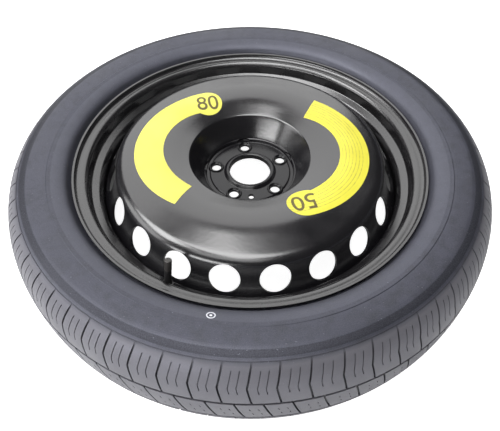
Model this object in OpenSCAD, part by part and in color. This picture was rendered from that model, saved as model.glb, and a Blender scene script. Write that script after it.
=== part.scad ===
// Compact temporary wheel: a narrow tyre on a welded steel wheel with a dished disc.
// It lies on its inboard sidewall, dished side up. Its axis is Z and the floor is at z = 0.
// Section points are written [r, s]: the radius, and the height above the wheel's mid-plane.

/* [Tyre] */
// Width of the fitted tyre across its sidewalls
tyre_w = 171; // [166:1:185]
// Diameter over the tread
tyre_d = 753; // [744:1:775]
// Radius at which the sidewall bulges furthest
widest_r = 328.8; // [322:0.2:334]
// Squareness of the shoulder, where 2 is an ellipse
shoulder_power = 2.32; // [2.1:0.02:2.8]
// Thickness of the rubber under the tread
tread_t = 14; // [11:0.5:18]
// Thickness of the sidewall
side_t = 9; // [6:0.5:12]
// Width of the bead, from its outer face to its inner face
bead_w = 15; // [12:0.5:18]
// Gap between the rim's lip and the sidewall beside it
lip_gap = 5; // [3:0.5:8]
// Radius at the bead's heel
heel_r = 7; // [6.6:0.1:9]
// Gap between the bead and the rim
seat_gap = 0.15; // [0.05:0.05:0.4]

/* [Tread] */
// Depth of the tread grooves
groove_depth = 3.8; // [2.5:0.1:5]
// Width of the two grooves that run round the tread
round_groove_w = 4.8; // [3:0.2:7]
// Distance from the mid-plane to each of those two grooves
round_groove_at = 24.5; // [18:0.5:30]
// Width of the cross grooves
cross_groove_w = 2.5; // [1.5:0.1:4]
// Radius of the fine line where the shoulder blocks end
block_line_r = 346; // [340:0.5:350]
// Width and depth of that fine line
block_line_w = 1.4; // [0.8:0.1:2.5]
// Distance from the mid-plane to the bend in the shoulder grooves
bend_at = 55.3; // [48:0.5:62]
// How far the bend lies to one side of the groove's ends, in degrees round the tyre
bend_turn = 0.85; // [0.4:0.05:1.2]
// How far the centre grooves slant, in degrees round the tyre
slant_turn = 2.05; // [1:0.05:3]
// Angle of the first block from +X
first_block = -145.2; // [-180:0.2:180]

/* [Rim] */
// Diameter of the bead seats
rim_d = 512.8; // [510:0.1:516]
// Width of the rim between its flanges
rim_w = 114.3; // [112:0.1:127]
// Height of the flanges above the bead seats
flange_h = 17.3; // [16:0.1:19]
// Radius of the flange's outer curl
curl_r = 9.5; // [8:0.1:11]
// Angle by which the curl's lip turns past its top
lip_turn = 10; // [0:1:25]
// Thickness of the rim's sheet
rim_t = 3; // [2.4:0.1:3.6]
// Width of each bead seat
seat_w = 19.8; // [18:0.1:21]
// Taper of the bead seats in degrees
seat_taper = 5; // [4:0.5:6]
// Radial width of the shoulder beside each bead seat
shoulder_w = 12.8; // [10:0.1:15]
// How far the shoulder falls towards the mid-plane over its width
shoulder_fall = 6; // [4:0.1:8]
// Depth of the well below the bead seats
well_depth = 17.3; // [16:0.1:19]
// Half of the well's flat width
well_half = 26; // [20:0.5:28]

/* [Disc] */
// Thickness of the disc's sheet
disc_t = 4.5; // [3.8:0.1:5.2]
// Height of the hub face above the rim's mid-plane
offset_et = 21.3; // [15:0.1:28]
// Radius of the centre bore
bore_r = 33.3; // [31:0.05:36]
// Outer radius of the raised lip round the centre bore
collar_r = 42.2; // [40:0.1:43.5]
// Height of that lip above the hub pad
collar_h = 4; // [2:0.1:6]
// Radius of the flat hub pad
pad_r = 64.5; // [63.5:0.1:66]
// Depth of the ring groove round the hub pad
pad_groove = 2; // [1:0.1:2.5]
// Radius at which the recess wall meets its ledge
foot_r = 74.4; // [73:0.1:77]
// Height of that ledge above the hub pad
foot_h = 3.6; // [2.5:0.1:5]
// Radius where the recess wall turns into the crown
recess_r = 95.5; // [90:0.1:100]
// Height of that turn above the hub pad
recess_h = 37.5; // [32:0.5:42]
// Radius of the crown's highest ring
crown_r = 142; // [130:0.5:155]
// Height of the crown's sheet above the hub pad, before it is rounded
crown_h = 53; // [48:0.5:58]
// Height of the brow above the hub pad, before it is rounded
brow_h = 43; // [39:0.5:47]
// Rounding of the brow
brow_round = 22; // [16:0.5:26]
// Length of the flange that is pressed into the rim
flange_len = 31; // [24:0.5:40]
// Gap between that flange and the rim
disc_fit = 0.1; // [0:0.05:0.2]

/* [Disc holes] */
// Number of vent holes
vents = 20; // [16:1:20]
// Radius of a vent hole
vent_r = 21.7; // [16:0.1:23]
// Radius of the circle on which the vent holes lie
vent_at_r = 220.5; // [218:0.1:222]
// Height of the vent holes' centres above the hub pad
vent_h = 17.2; // [15:0.1:19]
// Slope of the vented wall in degrees
vent_slope = 60; // [58:0.5:63]
// Number of wheel bolts
bolts = 5; // [4:1:5]
// Diameter of the circle of bolt holes
bolt_pcd = 112; // [108:0.1:116]
// Radius of a bolt hole
bolt_r = 7.75; // [7:0.05:8.5]
// Angle of the first bolt hole from +X
bolt_turn = 27.1; // [0:0.1:72]
// Radius of the raised seat round each bolt hole
seat_boss_r = 12.6; // [12:0.1:13]
// Height of that seat above the hub pad
seat_boss_h = 2.4; // [1:0.1:3]
// Radius of the wrench clearance cut into the ledge round each bolt
socket_r = 19; // [18.5:0.1:20]
// Radius of the small locating hole
pilot_r = 4.4; // [3:0.1:4.8]
// Angle of the locating hole from +X
pilot_turn = -88; // [-92:0.5:-84]

/* [Welds] */
// Number of weld beads between disc and rim
weld_count = 8; // [6:1:10]
// Arc of each bead in degrees
weld_arc = 25; // [15:1:30]
// Leg of a weld bead
weld_leg = 4.2; // [3:0.1:4.4]

/* [Valve] */
// Angle of the valve round the rim from +X
valve_turn = -116.4; // [-120:0.1:-112]
// Radius of the valve hole's centre at the rim's outboard side
valve_at_r = 246.3; // [245.5:0.1:246.6]
// Lean of the valve towards the wheel's axis in degrees
valve_lean = 14; // [12:0.5:16]
// Radius of the valve hole
valve_hole_r = 5.65; // [5.2:0.05:5.9]
// Thickness of the flat pad round the valve hole
valve_pad_t = 4.2; // [3.8:0.1:4.6]
// Gap between the rubber and the rim's hole
grommet_gap = 0.1; // [0.05:0.05:0.3]
// Length of the rubber above the rim
rubber_h = 26; // [22:0.5:30]
// Radius of the rubber above its foot
rubber_r = 4.7; // [4.4:0.1:5.2]
// Length of the bare brass above the rubber
thread_h = 15.3; // [13:0.1:18]
// Radius of the brass over its thread
thread_r = 3.85; // [3.75:0.05:4]
// Radius of the brass inside the rubber
insert_r = 3.2; // [3:0.1:3.4]
// Radius of the valve cap
cap_r = 4.9; // [4.8:0.05:5.4]
// Length of the valve cap
cap_h = 17.2; // [16:0.1:20]
// Gap between cap and thread
cap_gap = 0.2; // [0.1:0.05:0.3]
// Thickness of the rubber liner in the cap
liner_t = 1; // [0.6:0.1:1.5]

/* [Valve core] */
// Radius of the chamber that holds the core
chamber_r = 2.65; // [2.6:0.05:2.7]
// Length of the core's barrel
barrel_h = 9.4; // [8.5:0.1:10]
// Radius of the core's pin
pin_r = 0.8; // [0.7:0.05:0.85]
// Gap round each sliding or screwed piece of the core
core_gap = 0.1; // [0.05:0.01:0.14]
// Radius of the spring's wire
wire_r = 0.2; // [0.15:0.01:0.22]
// Number of turns of the spring
coil_turns = 6; // [5:1:7]

/* [Labels] */
// Thickness of the label film
film_t = 0.3; // [0.2:0.05:0.5]
// Width of the crescent
label_w = 45; // [40:0.5:48]
// Radius of the crescent's outer edge
label_r = 136.7; // [132:0.1:138]
// Radius of the crescent's round head
head_r = 26; // [24:0.5:28]
// Angle of the head's centre round the crescent
head_turn = 105.7; // [100:0.1:110]
// Angle of the crescent's square end
tail_turn = 243; // [236:1:246]
// Sideways place of the left crescent's centre
left_at_x = -44; // [-48:0.5:-40]
// Lengthways place of the left crescent's centre
left_at_y = 7; // [0:0.5:10]
// Sideways place of the right crescent's centre
right_at_x = 48; // [40:0.5:50]
// Lengthways place of the right crescent's centre
right_at_y = -3; // [-8:0.5:4]

/* [Hidden] */
$fn = 144;

// Tyre and rim sizes that follow from the ones above
tyre_r = tyre_d / 2;
half_w = tyre_w / 2;
mid_z = half_w;
seat_r = rim_d / 2;
half_rim = rim_w / 2;
flange_r = seat_r + flange_h;
lip_s = half_rim + curl_r * (1 + sin(lip_turn));
well_r = seat_r - well_depth;
well_in = well_r - rim_t;
seat_end = [seat_r - seat_w * tan(seat_taper), half_rim - seat_w];
shoulder_end = [seat_end[0] - shoulder_w, seat_end[1] - shoulder_fall];
// Past a cut's own depth, so that it leaves no skin
over = 20;

// Disc sizes that follow
pad_s = offset_et + disc_t;
flange_out = well_in - disc_fit;
vent_s = pad_s + vent_h;
brow_r = vent_at_r - (brow_h - vent_h) / tan(vent_slope);
knee_s = vent_s - (flange_out - vent_at_r) * tan(vent_slope);
flange_end = knee_s - flange_len;
recess_round = 12;
crown_round = 100;
knee_round = 12;

// Section of the tyre
function crown_at(s, r = tyre_r, w = half_w) =
    widest_r + (r - widest_r) * pow(max(0, 1 - pow(s / w, shoulder_power)), 1 / shoulder_power);
// The outline's height at radius r, above or below its widest ring
side_foot = [flange_r + lip_gap, lip_s];
function above_widest(r) =
    half_w * pow(max(0, 1 - pow((r - widest_r) / (tyre_r - widest_r), shoulder_power)), 1 / shoulder_power);
function below_widest(r) =
    side_foot[1]
    + (half_w - side_foot[1]) * sqrt(max(0, 1 - pow((widest_r - r) / (widest_r - side_foot[0]), 2)));
function height_at(r) = r > widest_r ? above_widest(r) : below_widest(r);
block_line_s = height_at(block_line_r);
// Radius where the shoulder's outline turns steep
brim_share = 0.4;
brim_r = widest_r + (tyre_r - widest_r) * brim_share;

// A notch in the tread's outline, centred at height s
function notch(s, w, d) = [
    [crown_at(s - w / 2), s - w / 2],
    [crown_at(s - w / 2) - d, s - w / 2 + w / 8],
    [crown_at(s + w / 2) - d, s + w / 2 - w / 8],
    [crown_at(s + w / 2), s + w / 2]
];
function tread_points(from, to, n) = [
    for (i = [0:n]) let (s = from + (to - from) * i / n) [crown_at(s), s]
];
// Points down the last, steep part of the shoulder, spaced by radius
function brim_points(n) = [
    for (i = [1:n]) let (r = brim_r + (widest_r - brim_r) * i / n) [r, height_at(r)]
];
tread_half = concat(
    tread_points(0, round_groove_at - round_groove_w, 3),
    notch(round_groove_at, round_groove_w, groove_depth),
    tread_points(round_groove_at + round_groove_w, height_at(brim_r), 9)
);
// Section of the fine line's cutter, wherever on the outline its radius lies
line_cut = [
    [block_line_r + block_line_w / 2, height_at(block_line_r + block_line_w / 2)],
    [block_line_r, block_line_s - block_line_w],
    [block_line_r - block_line_w / 2, height_at(block_line_r - block_line_w / 2)],
    [block_line_r - block_line_w / 2, block_line_s + block_line_w],
    [block_line_r + block_line_w / 2, block_line_s + block_line_w]
];
side_half = [
    for (i = [1:9]) let (t = 90 - i * 10)
        [widest_r - (widest_r - side_foot[0]) * cos(t), side_foot[1] + (half_w - side_foot[1]) * sin(t)]
];
heel = [seat_r + seat_gap, half_rim - seat_gap];
toe = [seat_end[0] + seat_gap * 2, seat_end[1] + seat_gap * 8];
// Clearances of the bead from the flange and from its curl
flange_clear = 1.5;
curl_clear = 0.8;
bead_face_r = flange_r - curl_r + flange_clear;
bead_in = [bead_face_r, heel[1] - bead_w];
// The liner leaves the bead straight, and keeps a sidewall's thickness from the lip's height on
liner_foot = side_foot + [side_t, 0];
liner_s = half_w - side_t;
liner_side = [
    for (i = [0:8]) let (t = i * 11)
        [widest_r - (widest_r - liner_foot[0]) * cos(t), liner_foot[1] + (liner_s - liner_foot[1]) * sin(t)]
];
liner_crown = [
    for (i = [0:9]) let (s = liner_s * cos(i * 10))
        [crown_at(s, tyre_r - tread_t, liner_s), s]
];
tyre_half = concat(
    tread_half,
    brim_points(5),
    side_half,
    [[flange_r, side_foot[1] - curl_r + curl_clear]],
    round_path([[bead_face_r, heel[1]], heel, toe], heel_r),
    [bead_in],
    liner_side,
    liner_crown
);

// Which of the three block lengths follows which: one of five equal groups round the tyre
block_lengths = [1, 1.09, 1.2];
block_group = [1, 1, 0, 0, 0, 0, 1, 1, 0, 0, 0, 1, 2];
block_groups = 5;
function sum(v, n) = n == 0 ? 0 : v[n - 1] + sum(v, n - 1);
group_sizes = [for (k = block_group) block_lengths[k]];
block_unit = 360 / block_groups / sum(group_sizes, len(group_sizes));
block_turns = [
    for (g = [0:block_groups - 1]) for (i = [0:len(block_group) - 1])
        first_block + g * 360 / block_groups + block_unit * sum(group_sizes, i)
];
// The centre grooves, and the lower shoulder's grooves, start part of a block further round
centre_share = 0.39;
lower_share = 0.45;
centre_turn = bend_turn + centre_share * block_unit;
lower_turn = lower_share * block_unit;

// Valve sizes that follow, as heights above its seat on the rim
shoulder_slope = atan2(shoulder_fall, shoulder_w);
pad_rise = 0.3;
valve_s = seat_end[1] - (seat_end[0] - valve_at_r) * tan(shoulder_slope)
    + rim_t / cos(shoulder_slope) + pad_rise;
foot_step = 0.5;
foot_of_rubber_r = valve_hole_r + foot_step;
spot_r = foot_of_rubber_r + foot_step;
bulb_h = 9;
bulb_step = 1.1;
stem_below = 1;
insert_top = rubber_h;
tip = insert_top + thread_h;
gasket_h = 1.2;
core_sunk = 0.8;
barrel_low = tip - core_sunk - barrel_h;
chamber_floor = barrel_low - gasket_h;
barrel_top = barrel_low + barrel_h;
barrel_floor_t = 1.8;
barrel_wall = 0.75;
barrel_in_r = chamber_r - core_gap - barrel_wall;
lower_bore_r = 2;
seal_t = 0.9;
carrier_t = 0.8;
collar_t = 0.7;
seal_step = 0.3;
pin_top = tip - seal_step;
pin_collar = barrel_top - 1.6;
spring_r = (barrel_in_r + pin_r) / 2;
cap_rise = 0.4;
liner_lift = 0.05;

// Outline helpers: rounded corners, a side-step of a path, and a sheet along a path
function unit(v) = v / norm(v);
function turn_between(a, b) = let (d = b - a) d > 180 ? d - 360 : (d < -180 ? d + 360 : d);
function corner(a, b, c, r, n = 6) =
    let (
        u = unit(a - b),
        w = unit(c - b),
        half = acos(max(-1, min(1, u * w))) / 2,
        centre = b + unit(u + w) * r / sin(half),
        p = b + u * r / tan(half) - centre,
        q = b + w * r / tan(half) - centre,
        from = atan2(p[1], p[0]),
        sweep = turn_between(from, atan2(q[1], q[0]))
    ) [for (i = [0:n]) centre + r * [cos(from + sweep * i / n), sin(from + sweep * i / n)]];
function round_path(p, r) = concat(
    [p[0]],
    [for (i = [1:len(p) - 2]) each corner(p[i - 1], p[i], p[i + 1], is_list(r) ? r[i - 1] : r)],
    [p[len(p) - 1]]
);
function reversed(v) = [for (i = [len(v) - 1:-1:0]) v[i]];
function mirrored(v) = [for (p = v) [p[0], -p[1]]];
function left_of(v) = [-v[1], v[0]];
function side_step(p, t) = [
    for (i = [0:len(p) - 1])
        let (
            u = left_of(unit(i == 0 ? p[1] - p[0] : p[i] - p[i - 1])),
            w = left_of(unit(i == len(p) - 1 ? p[i] - p[i - 1] : p[i + 1] - p[i])),
            m = unit(u + w)
        ) p[i] + m * t / (m * u)
];
function sheet(p, t) = concat(p, reversed(side_step(p, t)));
function joined_halves(half) = concat(mirrored(reversed([for (i = [1:len(half) - 1]) half[i]])), half);

module turned(section) {
    translate([0, 0, mid_z])
        rotate_extrude()
            polygon(section);
}

// A groove cutter that runs from p to q, both [r, s], and steps sideways by turn degrees
module groove_leg(p, q, turn, p_depth, q_depth, w) {
    run = norm(q - p);
    shift = turn * PI / 180 * (p[0] + q[0]) / 2;
    past = w / 2;
    translate([p[0], 0, p[1]])
        rotate([0, -atan2(q[1] - p[1], q[0] - p[0]), 0])
            rotate([0, 0, atan2(shift, run)])
                rotate([90, 0, 0])
                    linear_extrude(w, center = true)
                        polygon([
                            [-past, -p_depth],
                            [run + past, -q_depth],
                            [run + past, over],
                            [-past, over]
                        ]);
}

module shoulder_groove() {
    top = [crown_at(block_line_s), block_line_s];
    bend = [crown_at(bend_at), bend_at];
    low = [crown_at(round_groove_at), round_groove_at];
    rotate([0, 0, bend_turn])
        groove_leg(top, bend, -bend_turn, 0, groove_depth, cross_groove_w);
    groove_leg(bend, low, bend_turn, groove_depth, groove_depth, cross_groove_w);
}

module centre_groove() {
    top = [crown_at(round_groove_at), round_groove_at];
    low = [crown_at(round_groove_at), -round_groove_at];
    groove_leg(top, low, slant_turn, groove_depth, groove_depth, cross_groove_w);
}

module tyre() {
    inner_half = [for (i = [1:len(tyre_half) - 2]) tyre_half[i]];
    color([0.16, 0.165, 0.18])
        difference() {
            turned(concat(tyre_half, reversed(mirrored(inner_half))));
            turned(line_cut);
            turned(mirrored(line_cut));
            for (turn = block_turns)
                translate([0, 0, mid_z]) {
                    rotate([0, 0, turn])
                        shoulder_groove();
                    rotate([0, 0, turn + centre_turn])
                        centre_groove();
                    rotate([0, 0, turn + lower_turn])
                        mirror([0, 0, 1])
                            shoulder_groove();
                }
        }
}

// Half of the rim's tyre side, from the middle of the well to the lip
curl_centre = [flange_r - curl_r, half_rim + curl_r];
rim_corners = [[well_r, well_half], shoulder_end, seat_end, [seat_r, half_rim]];
rim_rounds = [5, 5, 6, 6.5];
rim_half = concat(
    round_path(concat([[well_r, 0]], rim_corners, [[curl_centre[0], half_rim]]), rim_rounds),
    [for (i = [1:9]) let (t = -90 + (90 + lip_turn) * i / 9) curl_centre + curl_r * [cos(t), sin(t)]]
);

module at_valve() {
    rotate([0, 0, valve_turn])
        translate([valve_at_r, 0, mid_z + valve_s])
            rotate([0, -valve_lean, 0])
                children();
}

module spun(section) {
    rotate_extrude($fn = 48)
        polygon(section);
}

module tube(r_in, r_out, low, high) {
    spun([[r_in, low], [r_out, low], [r_out, high], [r_in, high]]);
}

module rim() {
    pad_lip = 0.5;
    color([0.07, 0.07, 0.075])
        difference() {
            union() {
                turned(sheet(joined_halves(rim_half), rim_t));
                at_valve()
                    translate([0, 0, -valve_pad_t - pad_lip])
                        cylinder(r = spot_r + pad_lip, h = valve_pad_t + 2 * pad_lip);
            }
            at_valve() {
                translate([0, 0, -over / 2])
                    cylinder(r = valve_hole_r, h = over);
                cylinder(r = spot_r, h = over / 3);
                translate([0, 0, -valve_pad_t - over / 3])
                    cylinder(r = spot_r, h = over / 3);
            }
        }
}

// The disc's back, and its front with the ledge and ring groove worked in
recess_turn = [recess_r, pad_s + recess_h];
wall_run = (recess_turn[0] - foot_r) / (recess_turn[1] - pad_s - foot_h);
crown_path = round_path(
    [
        [foot_r, pad_s + foot_h],
        recess_turn,
        [crown_r, pad_s + crown_h],
        [brow_r, pad_s + brow_h],
        [flange_out, knee_s],
        [flange_out, flange_end]
    ],
    [recess_round, crown_round, brow_round, knee_round]
);
back_path = concat(
    round_path([[bore_r, pad_s], [foot_r - foot_h * wall_run, pad_s], crown_path[1]], 8),
    [for (i = [2:len(crown_path) - 1]) crown_path[i]]
);
ledge_w = 1.8;
ledge_fall = 0.6;
groove_slope = 1.6;
front_path = concat(
    [
        [bore_r, pad_s],
        [pad_r, pad_s],
        [pad_r + groove_slope, pad_s - pad_groove],
        [foot_r - ledge_w - groove_slope, pad_s - pad_groove],
        [foot_r - ledge_w, pad_s + foot_h - ledge_fall]
    ],
    crown_path
);
// The collar's top: how far across it each point lies, and how high, as shares of its width and height
collar_shares = [[0, 0.4], [0.07, 0.75], [0.25, 1], [0.52, 0.95], [0.78, 0.55], [1, 0]];
collar_path = concat(
    [[bore_r, offset_et]],
    [for (p = collar_shares) [bore_r + (collar_r - bore_r) * p[0], pad_s + collar_h * p[1]]],
    [[collar_r, offset_et]]
);
wall_tilt = [sin(vent_slope), cos(vent_slope)];

module at_bolts() {
    for (i = [0:bolts - 1])
        rotate([0, 0, bolt_turn + i * 360 / bolts])
            translate([bolt_pcd / 2, 0, mid_z + pad_s])
                children();
}

module wheel_disc() {
    seat_depth = 2.6;
    seat_taper_over = 1.1;
    socket_lift = 0.1;
    boss_draft = 1;
    color([0.075, 0.075, 0.08])
        difference() {
            union() {
                difference() {
                    turned(concat(front_path, reversed(side_step(back_path, -disc_t))));
                    at_bolts()
                        translate([0, 0, socket_lift])
                            cylinder(r = socket_r, h = over);
                }
                turned(collar_path);
                at_bolts()
                    translate([0, 0, -disc_t / 2])
                        cylinder(
                            r1 = seat_boss_r + boss_draft,
                            r2 = seat_boss_r - boss_draft,
                            h = seat_boss_h + disc_t / 2
                        );
            }
            at_bolts() {
                translate([0, 0, -over])
                    cylinder(r = bolt_r, h = 2 * over);
                translate([0, 0, seat_boss_h - seat_depth])
                    cylinder(
                        r1 = bolt_r,
                        r2 = bolt_r + seat_depth * seat_taper_over,
                        h = seat_depth * seat_taper_over
                    );
            }
            for (i = [0:vents - 1])
                rotate([0, 0, -90 + (i + 0.5) * 360 / vents])
                    translate([vent_at_r, 0, mid_z + vent_s])
                        rotate([0, vent_slope, 0])
                            translate([0, 0, -over])
                                cylinder(r = vent_r, h = 2 * over);
            rotate([0, 0, pilot_turn])
                translate([bolt_pcd / 2, 0, mid_z + offset_et - over / 2])
                    cylinder(r = pilot_r, h = over);
        }
}

module disc_welds() {
    color([0.1, 0.1, 0.105])
        for (i = [0:weld_count - 1])
            rotate([0, 0, i * 360 / weld_count])
                translate([0, 0, mid_z])
                    rotate_extrude(angle = weld_arc)
                        polygon([
                            [well_in, flange_end],
                            [well_in - weld_leg, flange_end],
                            [well_in - weld_leg * 0.75, flange_end - weld_leg * 0.6],
                            [well_in, flange_end - weld_leg]
                        ]);
}

module valve_body() {
    neck_r = valve_hole_r - grommet_gap;
    bulb = -valve_pad_t;
    bulb_r = foot_of_rubber_r + bulb_step;
    rubber_foot_h = 1.5;
    shoulder_h = 5;
    neck_h = 9;
    edge = 0.4;
    color([0.06, 0.06, 0.065])
        at_valve()
            spun([
                [insert_r, bulb - bulb_h],
                [neck_r, bulb - bulb_h],
                [bulb_r, bulb - bulb_h * 0.55],
                [bulb_r, bulb - bulb_h * 0.45],
                [foot_of_rubber_r, bulb],
                [neck_r, bulb],
                [neck_r, 0],
                [foot_of_rubber_r, 0],
                [foot_of_rubber_r, rubber_foot_h],
                [rubber_r + edge, shoulder_h],
                [rubber_r, neck_h],
                [rubber_r, rubber_h - 3 * edge],
                [rubber_r - edge, rubber_h],
                [insert_r, rubber_h]
            ]);
}

module valve_stem() {
    low = -valve_pad_t - bulb_h - stem_below;
    edge = 0.5;
    color([0.72, 0.55, 0.25])
        at_valve()
            spun([
                [lower_bore_r, low],
                [insert_r, low],
                [insert_r, insert_top],
                [thread_r, insert_top],
                [thread_r, tip - edge],
                [thread_r - edge, tip],
                [chamber_r, tip],
                [chamber_r, chamber_floor],
                [lower_bore_r, chamber_floor - edge]
            ]);
}

module core_barrel() {
    out_r = chamber_r - core_gap;
    color([0.8, 0.62, 0.3])
        at_valve()
            spun([
                [pin_r + core_gap, barrel_low],
                [out_r, barrel_low],
                [out_r, barrel_top],
                [barrel_in_r, barrel_top],
                [barrel_in_r, barrel_low + barrel_floor_t],
                [pin_r + core_gap, barrel_low + barrel_floor_t]
            ]);
}

module core_gasket() {
    color([0.85, 0.85, 0.82])
        at_valve()
            tube(lower_bore_r, chamber_r - core_gap / 2, chamber_floor, barrel_low);
}

module core_pin() {
    carrier = barrel_low - seal_t - carrier_t;
    carrier_r = lower_bore_r - seal_step;
    color([0.75, 0.6, 0.35])
        at_valve()
            spun([
                [0, carrier - carrier_t],
                [pin_r, carrier - carrier_t],
                [pin_r, carrier],
                [carrier_r, carrier],
                [carrier_r, carrier + carrier_t],
                [pin_r, carrier + carrier_t],
                [pin_r, pin_collar],
                [barrel_in_r - core_gap, pin_collar],
                [barrel_in_r - core_gap, pin_collar + collar_t],
                [pin_r, pin_collar + collar_t],
                [pin_r, pin_top],
                [0, pin_top]
            ]);
}

module core_seal() {
    color([0.12, 0.12, 0.12])
        at_valve()
            tube(pin_r, lower_bore_r - seal_step, barrel_low - seal_t, barrel_low);
}

// A round wire wound as a helix, closed flat at both ends
module coil(r, wire, low, high, turns, steps = 18, sides = 6) {
    rings = turns * steps;
    points = [
        for (i = [0:rings]) for (k = [0:sides - 1])
            let (
                a = 360 * i / steps,
                b = 360 * k / sides,
                z = low + wire + (high - low - 2 * wire) * i / rings
            ) [(r + wire * cos(b)) * cos(a), (r + wire * cos(b)) * sin(a), z + wire * sin(b)]
    ];
    walls = [
        for (i = [0:rings - 1]) for (k = [0:sides - 1])
            let (j = (k + 1) % sides, p = i * sides, q = p + sides)
                each [[p + k, q + k, q + j], [p + k, q + j, p + j]]
    ];
    start = [[for (k = [0:sides - 1]) k]];
    end = [[for (k = [sides - 1:-1:0]) rings * sides + k]];
    polyhedron(points, concat(walls, start, end));
}

module core_spring() {
    color([0.7, 0.7, 0.72])
        at_valve()
            coil(spring_r, wire_r, barrel_low + barrel_floor_t, pin_collar, coil_turns);
}

module valve_cap() {
    ribs = 16;
    rib_r = 0.5;
    rib_start = 4;
    top_round = 1.2;
    roof = tip + liner_lift + liner_t + liner_lift;
    low = insert_top + cap_rise;
    color([0.2, 0.2, 0.2])
        at_valve()
            difference() {
                spun([
                    [0, low + cap_h],
                    [0, roof],
                    [thread_r + cap_gap, roof],
                    [thread_r + cap_gap, low],
                    [cap_r, low],
                    [cap_r, low + cap_h - top_round],
                    [cap_r - top_round, low + cap_h]
                ]);
                for (i = [0:ribs - 1])
                    rotate([0, 0, i * 360 / ribs])
                        translate([cap_r + rib_r / 3, 0, low + rib_start])
                            cylinder(r = rib_r, h = cap_h, $fn = 24);
            }
}

module cap_liner() {
    color([0.1, 0.1, 0.1])
        at_valve()
            tube(chamber_r - barrel_wall, thread_r, tip + liner_lift, tip + liner_lift + liner_t);
}

// A flat crescent with one round head and one square end, before it is laid on the crown
module crescent() {
    band_in = label_r - label_w;
    difference() {
        intersection() {
            circle(r = label_r);
            polygon(concat([[0, 0]], [for (i = [0:4])
                let (t = head_turn + (tail_turn - head_turn) * i / 4) 2 * label_r * [cos(t), sin(t)]]));
        }
        circle(r = band_in);
    }
    rotate([0, 0, head_turn])
        translate([label_r - head_r, 0])
            circle(r = head_r);
}

module film(at_x, at_y, turn) {
    lift = 0.02;
    intersection() {
        turned(concat(side_step(crown_path, film_t + lift), reversed(side_step(crown_path, lift))));
        translate([at_x, at_y, mid_z + pad_s + foot_h + disc_t])
            rotate([0, 0, turn])
                linear_extrude(crown_h + disc_t)
                    crescent();
    }
}

module left_label() {
    color([1, 1, 0.55])
        film(left_at_x, left_at_y, 0);
}

module right_label() {
    color([0.98, 0.95, 0.45])
        film(right_at_x, right_at_y, 180);
}

tyre();
rim();
wheel_disc();
disc_welds();
valve_body();
valve_stem();
core_barrel();
core_gasket();
core_pin();
core_seal();
core_spring();
valve_cap();
cap_liner();
left_label();
right_label();
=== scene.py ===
# %% [markdown]
# # Space saver spare wheel
# A temporary wheel lies on a white floor: a narrow tyre on a black steel wheel with a raised, vented
# disc. The solids of the part come in first as a fixed frame. Every visible piece is then modelled
# round that frame in metres, and gets a finish built from what the real one is made of.

# %% Load the frame
from math import acos, atan2, cos, degrees, hypot, pi, radians, sin, sqrt, tan
import bpy
from mathutils import Matrix, Vector


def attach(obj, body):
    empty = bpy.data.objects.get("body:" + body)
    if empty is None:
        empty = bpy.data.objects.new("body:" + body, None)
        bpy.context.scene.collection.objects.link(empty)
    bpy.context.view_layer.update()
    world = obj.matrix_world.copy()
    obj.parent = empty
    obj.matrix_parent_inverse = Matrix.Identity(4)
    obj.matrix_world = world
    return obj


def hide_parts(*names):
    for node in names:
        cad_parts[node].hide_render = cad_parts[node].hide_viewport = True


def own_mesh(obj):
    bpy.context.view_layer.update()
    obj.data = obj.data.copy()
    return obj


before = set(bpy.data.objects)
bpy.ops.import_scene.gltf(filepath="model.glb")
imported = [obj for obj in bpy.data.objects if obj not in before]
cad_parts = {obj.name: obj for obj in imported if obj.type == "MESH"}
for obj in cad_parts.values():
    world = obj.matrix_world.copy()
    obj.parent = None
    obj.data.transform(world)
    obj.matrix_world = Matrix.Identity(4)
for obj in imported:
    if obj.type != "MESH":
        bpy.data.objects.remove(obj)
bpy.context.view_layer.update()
MM = 0.001

# %% [markdown]
# The camera comes first, because every choice of detail depends on what it sees. It stands a good
# half metre in front of the wheel's middle and looks down at it, near enough for the front of the
# tyre to look clearly larger than the back. A small upward shift frames the wheel as the picture does.

# %% Camera
camera_data = bpy.data.cameras.new("camera")
camera_data.lens = 34.24
camera_data.sensor_width = 36
camera_data.shift_y = 0.0116
camera = bpy.data.objects.new("camera", camera_data)
camera.location = (0, -0.5498, 0.6726)
camera.rotation_euler = (radians(38.33), 0, 0)
bpy.context.scene.collection.objects.link(camera)
bpy.context.scene.camera = camera
print("camera looks down by", round(90 - degrees(camera.rotation_euler[0]), 1), "degrees")

# %% [markdown]
# A few small helpers serve every piece. An operator acts on all that is selected, so one clears the
# selection and one picks a single piece. Others enter and leave edit mode, clean a mesh, apply a modifier
# and shade a piece. The last one hands a finished piece to the frame: it rides on a body and stands for its
# solid.

# %% Helpers for pieces
def clear_selection():
    bpy.ops.object.select_all(action="DESELECT")


def pick(piece):
    clear_selection()
    bpy.context.view_layer.objects.active = piece
    piece.select_set(True)


def edit(piece):
    pick(piece)
    bpy.ops.object.mode_set(mode="EDIT")
    bpy.ops.mesh.select_mode(type="FACE")


def leave_edit():
    bpy.ops.object.mode_set(mode="OBJECT")


def tidy_mesh(piece):
    """Merges points that lie on one another, and turns the faces outwards."""
    edit(piece)
    bpy.ops.mesh.select_all(action="SELECT")
    bpy.ops.mesh.remove_doubles(threshold=0.002 * MM)
    bpy.ops.mesh.normals_make_consistent(inside=False)
    leave_edit()


def apply_modifier(piece, kind, **settings):
    pick(piece)
    modifier = piece.modifiers.new(kind.lower(), kind)
    for key, value in settings.items():
        setattr(modifier, key, value)
    bpy.ops.object.modifier_apply(modifier=modifier.name)


def cut_or_join(piece, tool, operation):
    apply_modifier(piece, "BOOLEAN", object=tool, operation=operation, solver="EXACT")
    bpy.data.objects.remove(tool)


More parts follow.
